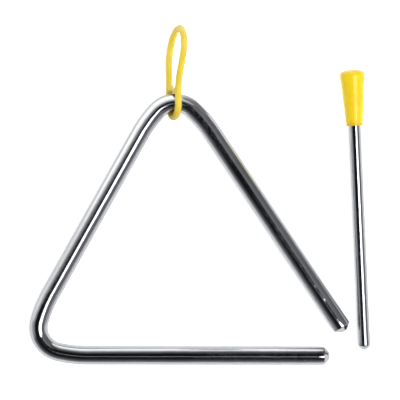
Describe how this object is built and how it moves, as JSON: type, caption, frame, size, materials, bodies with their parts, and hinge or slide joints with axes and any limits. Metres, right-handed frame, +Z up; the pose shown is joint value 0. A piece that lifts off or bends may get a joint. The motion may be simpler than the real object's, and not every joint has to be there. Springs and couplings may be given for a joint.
{
  "type": "triangle instrument",
  "caption": "Small steel triangle instrument, open at one corner, with a moulded plastic hanger loose on its top bend and a straight steel beater with a plastic grip lying beside it.",
  "frame": {"origin": "on the table, under the middle of the box round the whole set as it lies", "axes": "+X along the triangle's bottom side towards its free end, +Y towards the corner that carries the hanger, +Z up from the table"},
  "size_m": [0.1445, 0.1436, 0.0207],
  "materials": {
    "bar_chrome": "bright chrome plate over drawn steel bar",
    "hanger_plastic": "moulded soft plastic, yellow, half gloss",
    "rod_chrome": "bright chrome plate over drawn steel rod",
    "grip_plastic": "moulded plastic, yellow, glossy"
  },
  "bodies": {
    "triangle": {"triangle_bar": "bar_chrome"},
    "hanger": {"hanger_loop": "hanger_plastic"},
    "beater": {"beater_shaft": "rod_chrome", "beater_grip": "grip_plastic"}
  },
  "joints": [
    {"name": "hanger_swing", "type": "hinge", "parent": "triangle", "child": "hanger", "pos_m": [-0.01085, 0.03903, 0.00762], "axis": [0.9992, 0.0401, 0.0014], "continuous": true},
    {"name": "beater_slide", "type": "slide", "parent": "triangle", "child": "beater", "axis": [0.7071, 0.7071, 0], "range_m": [0, 0.15]}
  ]
}
